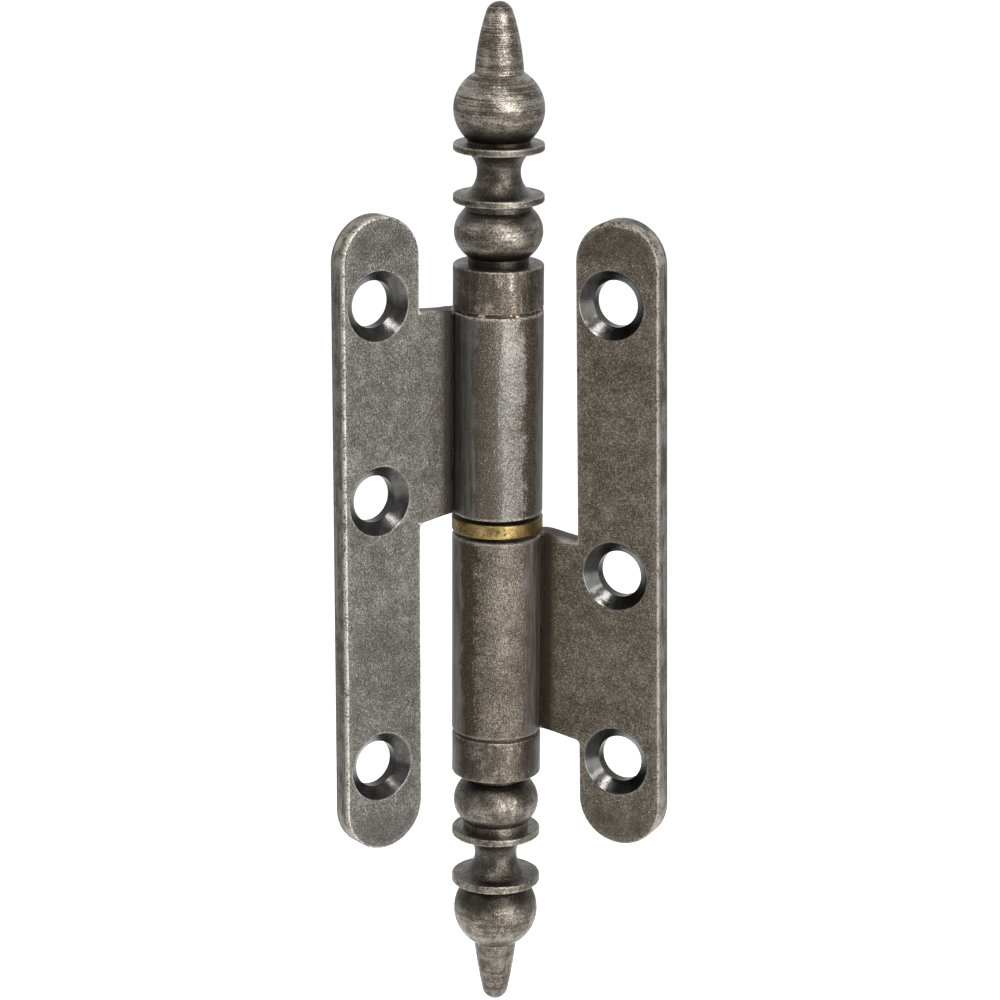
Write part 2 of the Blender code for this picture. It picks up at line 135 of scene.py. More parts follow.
UPPER = Leaf(
    "upper_leaf", 0.0647, 0.00035, radians(0.22), UPPER_SPAN, (0.0005, 0.022),
    0.0236, 0.0, (0.00035, 0.00035, 0.00035),
)
LOWER = Leaf(
    "lower_leaf", 0.0639, -LOWER_STRIP_DROP, radians(1.1), LOWER_SPAN, (0.0017, 0.0225),
    0.0234, 0.00015, (-0.00035, -0.00035, -0.00062),
)


# Flat outlines

def arc(centre, radius, start, end, steps):
    turn = (end - start) / steps
    return [
        (centre[0] + radius * cos(start + turn * i), centre[1] + radius * sin(start + turn * i))
        for i in range(steps + 1)
    ]


def wrap_angle(angle):
    return (angle + pi) % (2 * pi) - pi


def drop_repeats(outline):
    kept = []
    for point in outline:
        if not kept or hypot(point[0] - kept[-1][0], point[1] - kept[-1][1]) > 1e-7:
            kept.append(point)
    if hypot(kept[0][0] - kept[-1][0], kept[0][1] - kept[-1][1]) < 1e-7:
        kept.pop()
    return kept


def round_corners(corners):
    """Each corner is (x, y, radius, steps); a radius of 0 leaves it sharp."""
    outline = []
    for i, (x, y, radius, steps) in enumerate(corners):
        if radius == 0:
            outline.append((x, y))
            continue
        before = corners[i - 1]
        after = corners[(i + 1) % len(corners)]
        to_before = atan2(before[1] - y, before[0] - x)
        to_after = atan2(after[1] - y, after[0] - x)
        opening = wrap_angle(to_after - to_before)
        reach = radius / abs(sin(opening / 2))
        middle = to_before + opening / 2
        centre = (x + reach * cos(middle), y + reach * sin(middle))
        side = pi / 2 if opening > 0 else -pi / 2
        start = to_before - side
        sweep = wrap_angle(to_after + side - start)
        outline += arc(centre, radius, start, start + sweep, steps)
    return drop_repeats(outline)


def strip_outline(leaf):
    tab_root = BARREL_RADIUS - SHEET / 2
    end = (HALF_WIDTH, 24)
    corner = (TAB_CORNER_RADIUS, 6)
    half = leaf.half_length
    return round_corners([
        (tab_root, -leaf.span[1], 0, 0),
        (BARREL_RADIUS, -leaf.span[1], 0, 0),
        (*leaf.inner_edge(-leaf.tab[1]), *corner),
        (*leaf.on_strip(-HALF_WIDTH, -half), *end),
        (*leaf.on_strip(HALF_WIDTH, -half), *end),
        (*leaf.on_strip(HALF_WIDTH, half), *end),
        (*leaf.on_strip(-HALF_WIDTH, half), *end),
        (*leaf.inner_edge(-leaf.tab[0]), *corner),
        (BARREL_RADIUS, -leaf.span[0], 0, 0),
        (tab_root, -leaf.span[0], 0, 0),
    ])


def knuckle_outline():
    """The rolled sheet seen along the pin, its free end ground flat where it meets the tab at the seam."""
    blend = BACK_BLEND_RADIUS
    seam_corner = sqrt(BARREL_RADIUS**2 - FRONT_Y**2)
    facet_start = asin(FRONT_Y / BARREL_RADIUS) - FACET_TURN
    facet_x = BARREL_RADIUS * cos(facet_start)
    facet_y = BARREL_RADIUS * sin(facet_start)
    free_end_y = FRONT_Y - SEAM_WIDTH
    share = (free_end_y - facet_y) / (FRONT_Y - facet_y)
    free_end_x = facet_x + (seam_corner - facet_x) * share
    blend_x = sqrt((BARREL_RADIUS + blend) ** 2 - (BACK_Y + blend) ** 2)
    blend_angle = atan2(BACK_Y + blend, blend_x)
    tab_overlap = BARREL_RADIUS - SHEET / 4
    outline = [(free_end_x, free_end_y)]
    outline += arc((0, 0), BARREL_RADIUS, facet_start, blend_angle - 2 * pi, 110)
    outline += arc((blend_x, BACK_Y + blend), blend, pi + blend_angle, 1.5 * pi, 10)
    outline += [(tab_overlap, BACK_Y), (tab_overlap, FRONT_Y)]
    outline += arc(
        (0, 0), BORE_RADIUS, asin(FRONT_Y / BORE_RADIUS), asin(free_end_y / BORE_RADIUS) + 2 * pi, 72
    )
    return drop_repeats(outline)


# Meshes

def add_object(name, mesh):
    thing = bpy.data.objects.new(name, mesh)
    bpy.context.scene.collection.objects.link(thing)
    return thing


def extrude_outline(name, outline, low, high):
    """A closed mesh from an outline in XY, with one face at each end."""
    work = bmesh.new()
    bottom = [work.verts.new((x, y, low)) for x, y in outline]
    top = [work.verts.new((x, y, high)) for x, y in outline]
    work.faces.new(bottom)
    work.faces.new(top)
    for i in range(len(outline)):
        j = (i + 1) % len(outline)
        work.faces.new((bottom[i], bottom[j], top[j], top[i]))
    bmesh.ops.recalc_face_normals(work, faces=work.faces)
    mesh = bpy.data.meshes.new(name)
    work.to_mesh(mesh)
    work.free()
    return mesh


def turned_mesh(name, profile, steps, wobble=None, tones=None):
    """A turned mesh about Z from (radius, height) points.

    A profile that starts off the axis closes on itself. tones gives each profile point its values of the
    named vertex attributes.
    """
    work = bmesh.new()
    layers = {key: work.verts.layers.float.new(key) for key in tones or {}}
    rings = []
    for k, (radius, height) in enumerate(profile):
        if radius < 1e-9:
            rings.append([work.verts.new((0, 0, height))])
            continue
        ring = []
        for i in range(steps):
            turn = 2 * pi * i / steps
            out = radius + (wobble(turn, height, k) if wobble else 0)
            ring.append(work.verts.new((out * cos(turn), out * sin(turn), height)))
        rings.append(ring)
    closed = profile[0][0] > 1e-9
    count = len(rings) if closed else len(rings) - 1
    for k in range(count):
        a = rings[k]
        b = rings[(k + 1) % len(rings)]
        for i in range(steps):
            j = (i + 1) % steps
            if len(a) == 1:
                work.faces.new((a[0], b[i], b[j]))
            elif len(b) == 1:
                work.faces.new((a[i], b[0], a[j]))
            else:
                work.faces.new((a[i], b[i], b[j], a[j]))
    for key, layer in layers.items():
        for ring, value in zip(rings, tones[key]):
            for vertex in ring:
                vertex[layer] = value
    bmesh.ops.recalc_face_normals(work, faces=work.faces)
    mesh = bpy.data.meshes.new(name)
    work.to_mesh(mesh)
    work.free()
    return mesh


def soft_step(value, low, high):
    """0 at low and 1 at high, with a soft start and end; low may be the larger."""
    share = min(max((value - low) / (high - low), 0.0), 1.0)
    return share * share * (3 - 2 * share)


def rim_wear(profile):
    """How sharply a profile turns outward at each point, from 0 to 1: there handling wears it bright."""
    found = [0.0]
    for before, here, after in zip(profile, profile[1:], profile[2:]):
        first = atan2(here[1] - before[1], here[0] - before[0])
        second = atan2(after[1] - here[1], after[0] - here[0])
        length = max(hypot(after[0] - before[0], after[1] - before[1]), 2e-5)
        found.append(min(max(wrap_angle(second - first) / length * 0.0002, 0.0), 1.0))
    return [*found, 0.0]


def shade(mesh, angle):
    mesh.shade_smooth()
    mesh.set_sharp_from_angle(angle=radians(angle))


def keep_flat(mesh, area):
    """Ends the smooth shading at the rims of faces larger than area, so that they look flat."""
    rims = {key for face in mesh.polygons if face.area > area for key in face.edge_keys}
    for edge in mesh.edges:
        if edge.key in rims:
            edge.use_edge_sharp = True


def apply_modifiers(thing):
    bpy.context.view_layer.update()
    evaluated = thing.evaluated_get(bpy.context.evaluated_depsgraph_get())
    mesh = bpy.data.meshes.new_from_object(evaluated)
    thing.modifiers.clear()
    thing.data = mesh
    mesh.name = thing.name


def soften_edges(thing, width, segments, weights=None):
    """Rolls the sharp edges over; weights(edge middle) gives each edge its share of the width."""
    mesh = thing.data
    layer = mesh.attributes.new("bevel_weight_edge", "FLOAT", "EDGE")
    work = bmesh.new()
    work.from_mesh(mesh)
    work.edges.ensure_lookup_table()
    for i, edge in enumerate(work.edges):
        sharp = len(edge.link_faces) == 2 and edge.calc_face_angle() > radians(50)
        middle = (edge.verts[0].co + edge.verts[1].co) / 2
        layer.data[i].value = (weights(middle) if weights else 1.0) if sharp else 0.0
    work.free()
    bevel = thing.modifiers.new("Rolled edges", "BEVEL")
    bevel.limit_method = "WEIGHT"
    bevel.width = width
    bevel.segments = segments
    bevel.use_clamp_overlap = False
    apply_modifiers(thing)


def combine(thing, other, operation):
    cut = thing.modifiers.new(other.name, "BOOLEAN")
    cut.operation = operation
    cut.solver = "EXACT"
    cut.material_mode = "INDEX"
    cut.object = other
    apply_modifiers(thing)
    bpy.data.objects.remove(other, do_unlink=True)


def countersink_cutter(leaf):
    """The three screw holes as one cutter, each with its rim broken where it meets the front face."""
    roll = COUNTERSINK_ROLL
    depth = COUNTERSINK_RADIUS - HOLE_RADIUS
    lip = arc((COUNTERSINK_RADIUS + 0.0001, -roll), roll, pi / 2, 3 * pi / 4, 5)
    hole = lip[-1][0] - (depth + lip[-1][1])
    profile = [(0, CUT_MARGIN), (lip[0][0], CUT_MARGIN), *lip, (hole, -depth)]
    profile += [(hole, -SHEET - CUT_MARGIN), (0, -SHEET - CUT_MARGIN)]
    one = turned_mesh(leaf.name + "_hole", profile, 72)
    work = bmesh.new()
    for distance, height in leaf.holes:
        place = Matrix((
            (1, 0, 0, distance), (0, 0, -1, FRONT_Y), (0, 1, 0, height), (0, 0, 0, 1),
        ))
        copy = one.copy()
        copy.transform(place)
        work.from_mesh(copy)
        bpy.data.meshes.remove(copy)
    mesh = bpy.data.meshes.new(leaf.name + "_holes")
    bmesh.ops.recalc_face_normals(work, faces=work.faces)
    for face in work.faces:
        face.material_index = 1
    work.to_mesh(mesh)
    work.free()
    return add_object(leaf.name + "_holes", mesh)


def make_leaf(leaf):
    """Strip, tab and knuckle as one body, in the leaf's own frame: fronts face -Y."""
    blank = extrude_outline(leaf.name + "_look", strip_outline(leaf), -SHEET / 2, SHEET / 2)
    blank.transform(Matrix(((1, 0, 0, 0), (0, 0, -1, MIDDLE_Y), (0, 1, 0, 0), (0, 0, 0, 1))))
    thing = add_object(leaf.name + "_look", blank)
    blank.materials.append(None)
    blank.materials.append(None)

    def plate_edges(point):
        if point.x < BARREL_RADIUS - 0.0005 or abs(point.y - MIDDLE_Y) < 1e-4:
            return 0.0
        return 1.0 if point.y < MIDDLE_Y else BACK_ROLL_SHARE

    soften_edges(thing, PLATE_ROLL, 5, plate_edges)

    rolled = extrude_outline(leaf.name + "_knuckle", knuckle_outline(), -leaf.span[1], -leaf.span[0])
    knuckle = add_object(leaf.name + "_knuckle", rolled)
    soften_edges(knuckle, PLATE_ROLL, 4)
    combine(thing, knuckle, "UNION")
    combine(thing, countersink_cutter(leaf), "DIFFERENCE")
    shade(thing.data, 32)
    keep_flat(thing.data, 5e-6)
    return thing


# Turned profiles, as (radius, height) points

def ball(radius, half_height, start, start_radius, end_radius, steps):
    first = -asin(sqrt(1 - (start_radius / radius) ** 2))
    last = asin(sqrt(1 - (end_radius / radius) ** 2))
    middle = start - half_height * sin(first)
    turn = (last - first) / steps
    return [
        (radius * cos(first + turn * i), middle + half_height * sin(first + turn * i))
        for i in range(steps + 1)
    ]


def rim(radius, low, high, edge):
    """The outside of a disc or collar with both edges rolled over, and a face that bulges a very little."""
    band = [(radius - 0.00001, low + edge + (high - low - 2 * edge) * t) for t in (0.25, 0.5, 0.75)]
    return [
        *arc((radius - edge, low + edge), edge, -pi / 2, 0, 4),
        *band,
        *arc((radius - edge, high - edge), edge, 0, pi / 2, 4),
    ]


def pointed_tip(base, radius, flank_radius, end_round, length):
    """A slightly bulging cone from base up, with a round end."""
    end_centre = (0, base + length - end_round)
    chord = hypot(radius, end_centre[1] - base)
    along = (flank_radius**2 - (flank_radius - end_round) ** 2 + chord**2) / (2 * chord)
    flank_angle = atan2(end_centre[1] - base, -radius) + acos(along / flank_radius)
    flank_centre = (radius + flank_radius * cos(flank_angle), base + flank_radius * sin(flank_angle))
    meeting = atan2(end_centre[1] - flank_centre[1], -flank_centre[0])
    flank = arc(flank_centre, flank_radius, flank_angle - pi, meeting, 36)
    end = arc(end_centre, end_round, meeting, pi / 2, 16)
    return [*flank[1:], *end[1:-1], (0, base + length)]


class Turned:
    """A turned outline from the spigot out to the tip, with the grime and painted shade left at each of its
    points.
    """

    def __init__(self):
        self.points = []
        self.dirt_and_shade = []

    def add(self, points, dirt_and_shade=lambda radius, height: 0.0):
        self.points += points
        self.dirt_and_shade += [dirt_and_shade(radius, height) for radius, height in points]

    @property
    def end(self):
        return self.points[-1][1]


def finial_profile(small_ball, big_ball, tip, foot_dirt_and_shade, disc_dirt, tip_dirt, outer_lip):
    """Heights are counted from the end of the knuckle. Dirt and painted shade lie where a ball meets its
    neighbours, in the feet and the neck and on the discs' faces.

    tip is its foot radius, flank radius, end rounding and length. foot_dirt_and_shade lies under the inner
    disc, disc_dirt on the outer disc's rim and tip_dirt on the tip. The outer disc is thicker by outer_lip.
    """
    # Grime on the small ball and the rims; dirt and painted shade in the neck and on the discs' faces
    neck_dirt_and_shade, small_dirt, inner_rim_dirt, disc_face_dirt_and_shade = 0.75, 0.15, 0.3, 0.6
    turned = Turned()
    turned.add([(0, -SPIGOT_LENGTH), (PIN_RADIUS, -SPIGOT_LENGTH), (PIN_RADIUS, SEAM_GAP)])
    turned.add(rim(COLLAR_RADIUS, SEAM_GAP, COLLAR_END, COLLAR_ROLL))
    foot = [(COLLAR_FOOT_RADIUS, COLLAR_END), (COLLAR_FOOT_RADIUS, COLLAR_END + 0.0004)]
    turned.add(foot, lambda radius, height: 1.0)
    feet = (COLLAR_FOOT_RADIUS, DISC_FOOT_RADIUS)
    small = ball(small_ball, SMALL_BALL_HALF_HEIGHT, COLLAR_FOOT_END, *feet, 44)
    inner_disc = small[-1][1] + DISC_FOOT_LENGTH
    neck = inner_disc + DISC_THICKNESS
    outer_disc = neck + NECK_LENGTH
    outer_end = outer_disc + DISC_THICKNESS + outer_lip

    def rim_dirt_and_face_shade(radius, height):
        if radius > DISC_RADIUS - 0.00003:
            return inner_rim_dirt if height < outer_disc - 0.001 else disc_dirt
        return disc_face_dirt_and_shade if radius < DISC_RADIUS - 0.0001 else 0.0

    turned.add(small, lambda radius, height: max(
        soft_step(height - small[0][1], 0.0017, 0.0005),
        foot_dirt_and_shade * soft_step(small[-1][1] - height, 0.0017, 0.0005), small_dirt,
    ))
    turned.add([(DISC_FOOT_RADIUS, inner_disc)], lambda radius, height: foot_dirt_and_shade)
    turned.add(rim(DISC_RADIUS, inner_disc, neck, DISC_ROLL), rim_dirt_and_face_shade)
    half = asin(NECK_LENGTH / 2 / COVE_RADIUS)
    cove = (NECK_RADIUS + COVE_RADIUS, neck + NECK_LENGTH / 2)
    turned.add(arc(cove, COVE_RADIUS, pi + half, pi - half, 24), lambda radius, height: neck_dirt_and_shade)
    turned.add(rim(DISC_RADIUS, outer_disc, outer_end, DISC_ROLL), rim_dirt_and_face_shade)
    turned.add([(BIG_FOOT_RADIUS, outer_end)], lambda radius, height: 1.0)
    big_start = outer_disc + DISC_THICKNESS + BIG_FOOT_LENGTH
    big = ball(big_ball, BIG_BALL_HALF_HEIGHT, big_start, BIG_FOOT_RADIUS, tip[0], 56)
    turned.add(big, lambda radius, height: soft_step(height - big[0][1], 0.0027, 0.0009))
    turned.add(pointed_tip(turned.end, *tip), lambda radius, height: tip_dirt)
    return turned


def make_finial(name, turned, knuckle_end, outward):
    """Beyond the big ball's widest place the lathe tool left deeper marks."""
    placed = [(radius, outward * (knuckle_end + height)) for radius, height in turned.points]
    widest = turned.end - 0.0105
    ringed = [soft_step(height, widest - 0.001, widest + 0.0005) for radius, height in turned.points]
    tones = {"dirt_and_shade": turned.dirt_and_shade, "worn": rim_wear(turned.points), "ringed": ringed}
    return add_object(name, turned_mesh(name, placed, 128, tones=tones))


def make_washer():
    band = reversed(rim(WASHER_RADIUS, -WASHER_HALF, WASHER_HALF, WASHER_ROLL))
    profile = [(BORE_RADIUS, WASHER_HALF), *band, (BORE_RADIUS, -WASHER_HALF)]
    return add_object("washer_look", turned_mesh("washer_look", profile, 128))


def make_pin():
    tip = arc((PIN_RADIUS - PIN_TIP_ROUND, PIN_TOP - PIN_TIP_ROUND), PIN_TIP_ROUND, pi / 2, 0, 10)
    profile = [(0, PIN_TOP), *tip, (PIN_RADIUS, PIN_BOTTOM), (0, PIN_BOTTOM)]
    return add_object("pin_look", turned_mesh("pin_look", profile, 96))


def make_braze(name, knuckle_end, outward, seed):
    """The brass filler run into the seam between a collar and its knuckle: uneven, and a little sunk."""
    middle = outward * (knuckle_end + SEAM_GAP / 2)
    half = SEAM_GAP / 2 + 0.0001
    inside, crown, shoulder = 0.0034, 0.00440, 0.00432

    def wobble(turn, height, k):
        if k in (0, 4):
            return 0.0
        place = Vector((cos(turn) * 3.1, sin(turn) * 3.1, seed + height * 900))
        return 0.00008 * noise.noise(place) + 0.00005 * noise.noise(place * 3.3)

    section = [
        (inside, middle - half), (shoulder, middle - half), (crown, middle), (shoulder, middle + half),
        (inside, middle + half),
    ]
    return add_object(name, turned_mesh(name, section, 160, wobble))


UPPER_FINIAL = finial_profile(
    small_ball=0.00437, big_ball=0.00446, tip=(0.0024, 0.0236, 0.00136, 0.00688),
    foot_dirt_and_shade=0.8, disc_dirt=0.5, tip_dirt=0.0, outer_lip=0.0,
)
LOWER_FINIAL = finial_profile(
    small_ball=0.0043, big_ball=0.00426, tip=(0.00216, 0.054, 0.00131, 0.00644),
    foot_dirt_and_shade=0.35, disc_dirt=0.05, tip_dirt=0.25, outer_lip=0.0001,
)

upper_leaf = make_leaf(UPPER)
lower_leaf = make_leaf(LOWER)
upper_finial = make_finial("upper_finial_look", UPPER_FINIAL, UPPER_SPAN[1], 1)
lower_finial = make_finial("lower_finial_look", LOWER_FINIAL, LOWER_SPAN[1], -1)
washer = make_washer()
pin = make_pin()
upper_braze = make_braze("upper_braze", UPPER_SPAN[1], 1, 1.7)
lower_braze = make_braze("lower_braze", LOWER_SPAN[1], -1, 5.2)

for thing in (upper_finial, lower_finial, washer, pin, upper_braze, lower_braze):
    shade(thing.data, 40)

frame_place = Matrix.Translation(AXIS_PLACE)
door_place = frame_place @ Matrix.Rotation(SWING, 4, "Z")
turned_over = Matrix.Rotation(pi, 4, "Y")
for thing, place in (
    (upper_leaf, door_place @ turned_over), (upper_finial, door_place), (lower_leaf, frame_place),
    (lower_finial, frame_place), (washer, frame_place), (pin, frame_place), (upper_braze, door_place),
    (lower_braze, frame_place),
):
    thing.data.transform(place)


# Materials

class Finish:
    """Builds one material; a value is a number, a colour or another node's output."""

    def __init__(self, name):
        self.material = bpy.data.materials.new(name)
        self.material.use_nodes = True
        self.tree = self.material.node_tree
        self.shader = self.tree.nodes["Principled BSDF"]

    def put(self, value, socket):
        if isinstance(value, bpy.types.NodeSocket):
            self.tree.links.new(value, socket)
        elif socket.type == "RGBA":
            socket.default_value = (*value, 1)
        else:
            socket.default_value = value

    def node(self, kind, values, output=0, **settings):
        node = self.tree.nodes.new(kind)
        for key, value in settings.items():
            setattr(node, key, value)
        for key, value in values.items():
            self.put(value, node.inputs[key])
        return node.outputs[output]

    def math(self, operation, a, b=0.0, c=0.0):
        return self.node("ShaderNodeMath", {0: a, 1: b, 2: c}, operation=operation)

    def vector(self, operation, a, b):
        return self.node("ShaderNodeVectorMath", {0: a, 1: b}, operation=operation)

    def ease(self, value, low, high):
        """0 at low and 1 at high, with a soft start and end; low may be the larger."""
        values = {"Value": value, "From Min": low, "From Max": high}
        return self.node("ShaderNodeMapRange", values, interpolation_type="SMOOTHSTEP")

    def mix(self, share, a, b):
        return self.node("ShaderNodeMix", {0: share, 6: a, 7: b}, 2, data_type="RGBA")

    def blend(self, share, a, b):
        return self.node("ShaderNodeMix", {0: share, 2: a, 3: b}, 0, data_type="FLOAT")

    def noise(self, place, size, detail=2.0, roughness=0.5):
        values = {"Vector": place, "Scale": 1 / size, "Detail": detail, "Roughness": roughness}
        return self.node("ShaderNodeTexNoise", values)

    def attribute(self, name):
        return self.node("ShaderNodeAttribute", {}, "Fac", attribute_name=name)

    def split(self, place):
        node = self.tree.nodes.new("ShaderNodeSeparateXYZ")
        self.put(place, node.inputs[0])
        return node.outputs

    def place(self, swing=0.0, over=False):
        """Coordinates about the pin, turned back to how the piece lies in its own frame."""
        place = self.node("ShaderNodeTexCoord", {}, "Object")
        place = self.vector("SUBTRACT", place, tuple(AXIS_PLACE))
        if swing:
            values = {"Vector": place, "Angle": -swing}
            place = self.node("ShaderNodeVectorRotate", values, rotation_type="Z_AXIS")
        if over:
            place = self.vector("MULTIPLY", place, (-1, 1, -1))
        return place

    def chain(self, operation, values):
        result = values[0]
        for value in values[1:]:
            result = self.math(operation, result, value)
        return result

    def product(self, *values):
        return self.chain("MULTIPLY", values)

    def add(self, *values):
        return self.chain("ADD", values)

    def most(self, *values):
        return self.chain("MAXIMUM", values)

    def less(self, value, taken):
        return self.math("SUBTRACT", value, taken)

    def centred(self, noise, amount):
        """A noise brought to lie about 0, and scaled."""
        return self.product(self.less(noise, 0.5), amount)

    def sector(self, turn, start, full_start, full_end, end):
        """1 between two angles in degrees, easing off to 0 at start and end."""
        rising = self.ease(turn, radians(start), radians(full_start))
        return self.product(rising, self.ease(turn, radians(end), radians(full_end)))

    def bumps(self, *layers):
        """Each layer is (height, depth in metres); they add up to one normal."""
        normal = None
        for height, depth in layers:
            values = {"Height": height, "Distance": depth, "Strength": 1.0}
            if normal:
                values["Normal"] = normal
            normal = self.node("ShaderNodeBump", values)
        self.put(normal, self.shader.inputs["Normal"])

    def done(self, colour, rough, metallic):
        self.put(colour, self.shader.inputs["Base Color"])
        self.put(rough, self.shader.inputs["Roughness"])
        self.put(metallic, self.shader.inputs["Metallic"])
        return self.material


def stretched(finish, place, across, along):
    return finish.vector("MULTIPLY", place, (across, across, along))


def turned_finish(name, shift, squash, ringing, patchy, polish):
    """Turned iron: dark patina left in the grooves, worn to pale metal where it stands proud, with painted
    shade in its recesses and on the collar's sides.

    squash is how far its patches are drawn out round the axis and flattened along it. ringing is how
    strongly the marks of the lathe tool stand out, patchy the shares of large, middle and small patches, and
    polish what rubbing took off the roughness.
    """
    f = Finish(name)
    own = f.place()
    place = f.vector("ADD", own, shift)
    dirt_and_shade = f.attribute("dirt_and_shade")
    worn = f.attribute("worn")
    grain = f.noise(place, 0.00010, 1.0, 0.6)
    speck = f.noise(place, 0.00024, 2.0, 0.6)
    patch = f.noise(stretched(f, place, 0.8, 1.2), 0.0019, 4.0, 0.62)
    smear = f.noise(stretched(f, place, *squash), 0.0009, 3.0, 0.62)
    fine_rings = f.noise(stretched(f, place, 0.012, 1.0), 0.00013, 1.0, 0.5)
    deep_rings = f.noise(stretched(f, place, 0.02, 1.0), 0.00036, 2.0, 0.5)
    ringed = f.add(f.product(f.attribute("ringed"), ringing), 0.12)
    x, y, z = f.split(own)
    turn = f.add(f.math("ARCTAN2", y, x), f.centred(patch, 0.5))
    height = f.math("ABSOLUTE", z)
    on_collar = f.product(f.ease(height, 0.0266, 0.0263), f.ease(height, 0.0215, 0.0218))
    # Painted shade: the collar is made browner on its sides, outside the angles that lit spans
    lit = f.sector(turn, -98, -82, -44, -18)
    painted_shade_band = f.product(on_collar, f.less(1.0, lit))

    rolled = f.noise(stretched(f, place, 1.6, 0.35), 0.0009, 3.0, 0.62)
    smear = f.blend(on_collar, smear, rolled)
    rub = f.add(f.product(patch, patchy[0]), f.product(smear, patchy[1]), f.product(speck, patchy[2]))
    rub = f.add(rub, 1.1 - sum(patchy) / 2, f.product(f.centred(fine_rings, ringed), 0.8))
    rub = f.less(rub, f.product(f.ease(deep_rings, 0.42, 0.30), ringed, 0.5))
    rub = f.less(rub, f.product(on_collar, 0.07))
    bright = f.ease(rub, 0.95, 1.32)
    base = f.mix(bright, (0.046, 0.034, 0.024), (0.25, 0.23, 0.195))
    fleck = f.product(f.ease(grain, 0.44, 0.62), f.blend(bright, 0.25, 0.6))
    base = f.mix(fleck, base, (0.33, 0.305, 0.262))
    base = f.mix(f.product(f.ease(grain, 0.5, 0.34), 0.5), base, (0.030, 0.024, 0.019))
    # Painted shade on the collar's sides
    base = f.mix(f.product(painted_shade_band, 0.48), base, (0.036, 0.026, 0.018))
    # Near-black: dirt, and painted shade where the turned parts meet and in the neck
    base = f.mix(f.product(dirt_and_shade, 0.9), base, (0.016, 0.013, 0.010))
    chipped = f.ease(f.add(f.product(speck, 0.5), f.product(patch, 0.5)), 0.40, 0.54)
    base = f.mix(f.product(f.ease(worn, 0.12, 0.5), chipped, 0.5), base, (0.33, 0.305, 0.26))
    rough = f.blend(bright, 0.34 - polish, 0.22 - polish)
    rough = f.add(rough, f.product(grain, 0.12))
    f.bumps(
        (f.product(fine_rings, ringed), 0.00003), (f.product(deep_rings, ringed), 0.00008),
        (smear, 0.00005), (speck, 0.00004), (grain, 0.00003),
    )
    return f.done(base, rough, 0.88)


def leaf_masks(f, leaf, place):
    """Where a point of a leaf lies.

    inset is counted in from the outline, depth from the nearer face, ends from the knuckle's ends and around
    from the pin's axis. hole and turn are the distance from the nearest hole and the angle about it, and
    beyond is how far a point lies past the middle of the strip's round end.
    """
    x, y, z = f.split(place)
    lean_cos, lean_sin = cos(leaf.lean), sin(leaf.lean)
    dx = f.less(x, STRIP_MIDDLE)
    dz = f.less(z, leaf.height)
    across = f.add(f.product(dx, lean_cos), f.product(dz, lean_sin))
    along = f.less(f.product(dz, lean_cos), f.product(dx, lean_sin))
    beyond = f.most(f.less(f.math("ABSOLUTE", along), leaf.half_length - HALF_WIDTH), 0)
    reach = f.math("SQRT", f.add(f.product(across, across), f.product(beyond, beyond)))
    tab = f.math("MINIMUM", f.add(z, leaf.tab[1]), f.less(-leaf.tab[0], z))
    tab = f.math("MINIMUM", tab, f.less(STRIP_MIDDLE, x))
    inset = f.most(f.less(HALF_WIDTH, reach), tab)
    depth = f.math("MINIMUM", f.less(y, FRONT_Y), f.less(BACK_Y, y))
    ends = f.math("MINIMUM", f.add(z, leaf.span[1]), f.less(-leaf.span[0], z))
    around = f.math("SQRT", f.add(f.product(x, x), f.product(y, y)))
    hole = None
    turn = None
    for distance, height in leaf.holes:
        gap = f.vector("MULTIPLY", f.vector("SUBTRACT", place, (distance, 0, height)), (1, 0, 1))
        length = f.node("ShaderNodeVectorMath", {0: gap}, "Value", operation="LENGTH")
        sides = f.split(gap)
        angle = f.math("ARCTAN2", sides[2], sides[0])
        near = f.math("LESS_THAN", length, 0.006)
        turn = angle if turn is None else f.blend(near, turn, angle)
        hole = length if hole is None else f.math("MINIMUM", hole, length)
    return {
        "x": x, "y": y, "z": z, "inset": inset, "depth": depth, "ends": ends, "around": around,
        "hole": hole, "turn": turn, "beyond": beyond,
    }


